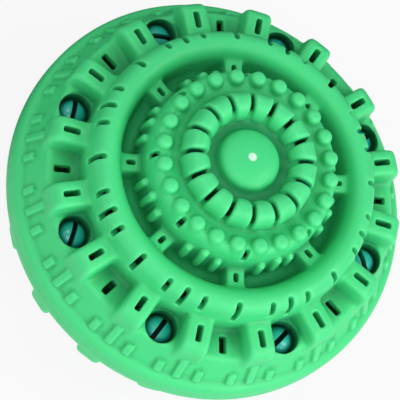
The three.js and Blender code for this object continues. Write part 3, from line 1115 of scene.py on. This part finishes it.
def buildScrew():
    s = screw
    edge = s["headEdge"]
    beltTop = s["headBottom"] + s["belt"]
    profile = arcPoints((0, beltTop), (s["headRadius"], s["headTop"] - beltTop), 90, 4, 14)
    profile += arcPoints((s["headRadius"] - edge, s["headBottom"] + edge), (edge, edge), 0, -90, 5)
    profile.append((0, s["headBottom"]))
    obj = revolve("screw", [(0, s["headTop"])] + profile[1:], 64)
    reach = s["headRadius"] + 1
    slotFloor = s["headTop"] - s["slotDepth"]
    slot = slotCutter("slot", -reach, reach, s["slotWidth"], slotFloor, s["headTop"] + 1, s["slotCorner"])
    combine(obj, slot, "DIFFERENCE")
    bevel = obj.modifiers.new("worn", "BEVEL")
    bevel.width = s["slotEdge"]
    bevel.segments = 2
    bevel.limit_method = "ANGLE"
    bevel.angle_limit = math.radians(40)
    evaluated(obj)
    combine(obj, threadedShank(), "UNION")
    # painted shade in the slot: its walls go towards near-black below the dome's surface
    place = np.empty(len(obj.data.vertices) * 3)
    obj.data.vertices.foreach_get("co", place)
    x, y, z = place.reshape(-1, 3).T
    across = np.clip(np.hypot(x, y) / s["headRadius"], 0, 1)
    below = beltTop + (s["headTop"] - beltTop) * np.sqrt(1 - across ** 2) - z
    storeValue(obj.data, "paintedShade", fade(below, 0.02, 0.12) * (np.abs(y) < s["slotWidth"] / 2 + 0.05))
    return obj


# A screw turned on its own axis, moved out, turned round to its well, and turned over if it is a lower one
def placeTree():
    steps = {"Slot Turn": "Z", "Well Radius": None, "Well Angle": "Z", "Turn Over": "X"}
    tree, nodes, links, start = startTree("screwInWell", dict.fromkeys(steps, "NodeSocketFloat"))
    last = start.outputs["Geometry"]
    for name, axis in steps.items():
        move = nodes.new("GeometryNodeTransform")
        vector = nodes.new("ShaderNodeCombineXYZ")
        links.new(start.outputs[name], vector.inputs[axis or "X"])
        links.new(vector.outputs[0], move.inputs["Rotation" if axis else "Translation"])
        links.new(last, move.inputs["Geometry"])
        last = move.outputs[0]
    real = nodes.new("GeometryNodeRealizeInstances")
    links.new(last, real.inputs[0])
    endTree(nodes, links, start, real.outputs[0])
    return tree


masterScrew = buildScrew()
screwPlacing = placeTree()
for side, over in (("upper", 0.0), ("lower", math.pi)):
    for i in range(folds):
        obj = link(f"{side}Screw{i + 1}", masterScrew.data.copy())
        mod = obj.modifiers.new("place", "NODES")
        mod.node_group = screwPlacing
        setInput(mod, "Well Radius", shell["wellCentre"])
        setInput(mod, "Well Angle", math.radians(foldStep / 2 + foldStep * i))
        setInput(mod, "Slot Turn", math.radians(screw["turns"][i]))
        setInput(mod, "Turn Over", over)
        setInput(mod, "Finish", tealPlastic)
        evaluated(obj)
        obj.data.transform(Matrix.Scale(mm, 4))
        node = f"{side}_screw_{i + 1}"
        finishPiece(obj, f"{side}Screw{i + 1}", tealPlastic, node, [node])
bpy.data.objects.remove(masterScrew)
print("screws done")


# inner frame and dividers

frameSize = {
    "inner": 35.8,
    "outer": 43.7,
    "web": 3.0,
    "pillar": 3.6,
    "pillarTop": 6.5,
    "drill": 2.0,
    "drillReach": 10.0,
    "notch": 2.2,
    "notchStart": 30.0,
    "notchEnd": 37.8,
    "notchCorner": 0.3,
    "cutReach": 5.0,
    "edge": 0.35,
    "dividerEdge": 0.3,
}


def softenEdges(obj, width, segments=2):
    bevel = obj.modifiers.new("edges", "BEVEL")
    bevel.width = width
    bevel.segments = segments
    bevel.limit_method = "ANGLE"
    bevel.angle_limit = math.radians(35)
    return evaluated(obj)


def buildFrame():
    f = frameSize
    half, cut = f["web"] / 2, f["cutReach"]
    obj = revolve("frame", [(0, half), (f["outer"], half), (f["outer"], -half), (0, -half)], 128)
    middle = revolve("middle", [(0, cut), (f["inner"], cut), (f["inner"], -cut), (0, -cut)], 128)
    combine(obj, middle, "DIFFERENCE")
    combine(obj, roundCutter("pillars", f["pillar"], -f["pillarTop"], f["pillarTop"]), "UNION")
    combine(obj, roundCutter("drills", f["drill"], -f["drillReach"], f["drillReach"]), "DIFFERENCE")
    notch = slotCutter("notch", f["notchStart"], f["notchEnd"], f["notch"], -cut, cut, f["notchCorner"])
    combine(obj, ringOf(notch, 4, 0, greenPlastic), "DIFFERENCE")
    return softenEdges(obj, f["edge"])


# A divider is its CAD plate, merged and with softened edges
def buildDivider(node):
    copy = frame["nodes"][node].data.copy()
    copy.transform(Matrix.Scale(1 / mm, 4))
    bm = bmesh.new()
    bm.from_mesh(copy)
    bmesh.ops.remove_doubles(bm, verts=bm.verts, dist=0.001)
    bmesh.ops.dissolve_limit(bm, angle_limit=math.radians(1), verts=bm.verts, edges=bm.edges)
    bm.to_mesh(copy)
    bm.free()
    return softenEdges(link(node, copy), frameSize["dividerEdge"])


innerFrame = buildFrame()
innerFrame.data.transform(Matrix.Scale(mm, 4))
finishPiece(innerFrame, "innerFrame", greenPlastic, "lower_half", ["inner_frame"])
for node, name in (("divider_x", "dividerX"), ("divider_y", "dividerY")):
    divider = buildDivider(node)
    divider.data.transform(Matrix.Scale(mm, 4))
    finishPiece(divider, name, greenPlastic, "lower_half", [node])
print("frame and dividers done")


# ceramic beads: one bed for each compartment

bead = {"radius": 4.0, "fineness": 4, "dent": 0.09, "dentScale": 0.35}


# A slightly dented ball at each point
def beadTree():
    sizes = {"Bead Radius": "NodeSocketFloat", "Dent": "NodeSocketFloat"}
    tree, nodes, links, start = startTree("beadsAtPoints", sizes)
    ball = nodes.new("GeometryNodeMeshIcoSphere")
    ball.inputs["Subdivisions"].default_value = bead["fineness"]
    copies = nodes.new("GeometryNodeInstanceOnPoints")
    real = nodes.new("GeometryNodeRealizeInstances")
    shift = nodes.new("GeometryNodeSetPosition")
    noise = nodes.new("ShaderNodeTexNoise")
    noise.inputs["Scale"].default_value = bead["dentScale"]
    normal = nodes.new("GeometryNodeInputNormal")
    centred = nodes.new("ShaderNodeMath")
    centred.operation = "SUBTRACT"
    centred.inputs[1].default_value = 1.0
    amount = nodes.new("ShaderNodeMath")
    amount.operation = "MULTIPLY"
    offset = nodes.new("ShaderNodeVectorMath")
    offset.operation = "SCALE"
    links.new(start.outputs["Bead Radius"], ball.inputs["Radius"])
    links.new(start.outputs["Geometry"], copies.inputs["Points"])
    links.new(ball.outputs["Mesh"], copies.inputs["Instance"])
    links.new(copies.outputs[0], real.inputs[0])
    links.new(real.outputs[0], shift.inputs["Geometry"])
    links.new(noise.outputs["Fac"], centred.inputs[0])
    links.new(centred.outputs[0], amount.inputs[0])
    links.new(start.outputs["Dent"], amount.inputs[1])
    links.new(normal.outputs[0], offset.inputs[0])
    links.new(amount.outputs[0], offset.inputs["Scale"])
    links.new(offset.outputs[0], shift.inputs["Offset"])
    endTree(nodes, links, start, shift.outputs[0])
    return tree


beadPlacing = beadTree()
for chamber in range(1, 5):
    nodes = [f"bead_{chamber}_{i}" for i in range(1, 9)]
    centres = [(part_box(n)[0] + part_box(n)[1]) / (2 * mm) for n in nodes]
    bed = meshOf(f"beadBed{chamber}", centres, [])
    mod = bed.modifiers.new("beads", "NODES")
    mod.node_group = beadPlacing
    setInput(mod, "Bead Radius", bead["radius"])
    setInput(mod, "Dent", bead["dent"])
    setInput(mod, "Finish", clay)
    evaluated(bed)
    bed.data.transform(Matrix.Scale(mm, 4))
    finishPiece(bed, f"beadBed{chamber}", clay, f"bead_bed_{chamber}", nodes)
print("beads done")
